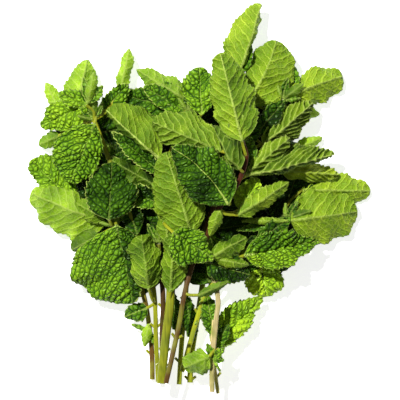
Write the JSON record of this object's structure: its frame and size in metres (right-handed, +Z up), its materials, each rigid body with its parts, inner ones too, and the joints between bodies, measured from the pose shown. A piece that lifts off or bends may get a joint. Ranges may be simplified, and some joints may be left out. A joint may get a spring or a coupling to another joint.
{
  "type": "cut mint bunch",
  "caption": "Loose bunch of cut garden mint lying flat, with crinkled toothed leaves on slim square stems, for kitchen and market scenes.",
  "frame": {"origin": "middle of the footprint, on the surface that the bunch lies on", "axes": "+Y from the cut stem ends to the leafy tops, +Z up from the surface, +X to the right of that"},
  "size_m": [0.1712, 0.1956, 0.0395],
  "materials": {
    "leaf_upper": "satin, quilted between the veins",
    "leaf_under": "matte, with raised pale veins",
    "young_leaf": "satin, thin and lit through",
    "stem_green": "satin",
    "stem_brown": "satin"
  },
  "bodies": {
    "root": {"leaf_below_1": "leaf_under", "leaf_below_2": "leaf_upper", "leaf_below_3": "leaf_upper", "leaf_below_4": "leaf_upper", "leaf_below_5": "leaf_under", "leaf_below_6": "leaf_upper", "leaf_crown_tall": "leaf_under", "leaf_right_far_top": "leaf_under", "leaf_right_bud_1": "young_leaf", "leaf_right_bud_2": "young_leaf", "leaf_right_far": "leaf_under", "leaf_left_far_top": "young_leaf", "leaf_left_top": "young_leaf", "leaf_left_far_mid": "young_leaf", "leaf_top_narrow": "young_leaf", "leaf_left_shaded": "leaf_upper", "leaf_left_bright": "young_leaf", "leaf_foot_fold": "leaf_upper", "leaf_foot_right": "leaf_upper", "stem_7": "stem_green", "stem_10": "stem_green", "stem_1": "stem_brown", "stem_2": "stem_green", "stem_4": "stem_brown", "stem_3": "stem_green", "stem_5": "stem_green", "stem_8": "stem_green", "stem_12": "stem_brown", "stem_11": "stem_brown", "leaf_foot_left": "young_leaf", "leaf_foot_curl": "leaf_upper", "leaf_left_low": "young_leaf", "leaf_top_mid": "young_leaf", "leaf_left_edge": "leaf_upper", "leaf_inner_left": "leaf_under", "leaf_inner_foot": "leaf_upper", "leaf_right_curl": "leaf_under", "leaf_right_ribbed": "leaf_under", "leaf_crown_right": "leaf_under", "leaf_right_broad": "leaf_under", "leaf_centre_low": "leaf_under", "leaf_left_lower": "leaf_upper", "leaf_left_quilted": "leaf_upper", "leaf_left_bud": "leaf_upper", "leaf_left_hero": "leaf_upper", "leaf_top_centre": "leaf_upper", "leaf_right_long": "leaf_under", "leaf_right_low": "leaf_upper", "leaf_inner_small": "leaf_under", "leaf_inner_rib": "leaf_upper", "leaf_inner_pale": "leaf_under", "stem_main": "stem_brown", "leaf_centre_side": "leaf_under", "leaf_centre_arch": "leaf_under", "leaf_centre_olive": "leaf_under", "leaf_foot_olive": "leaf_under", "leaf_foot_roll": "young_leaf", "leaf_centre_tip": "leaf_upper", "leaf_centre_dark": "leaf_upper", "leaf_hero_pale": "leaf_under"}
  },
  "joints": []
}
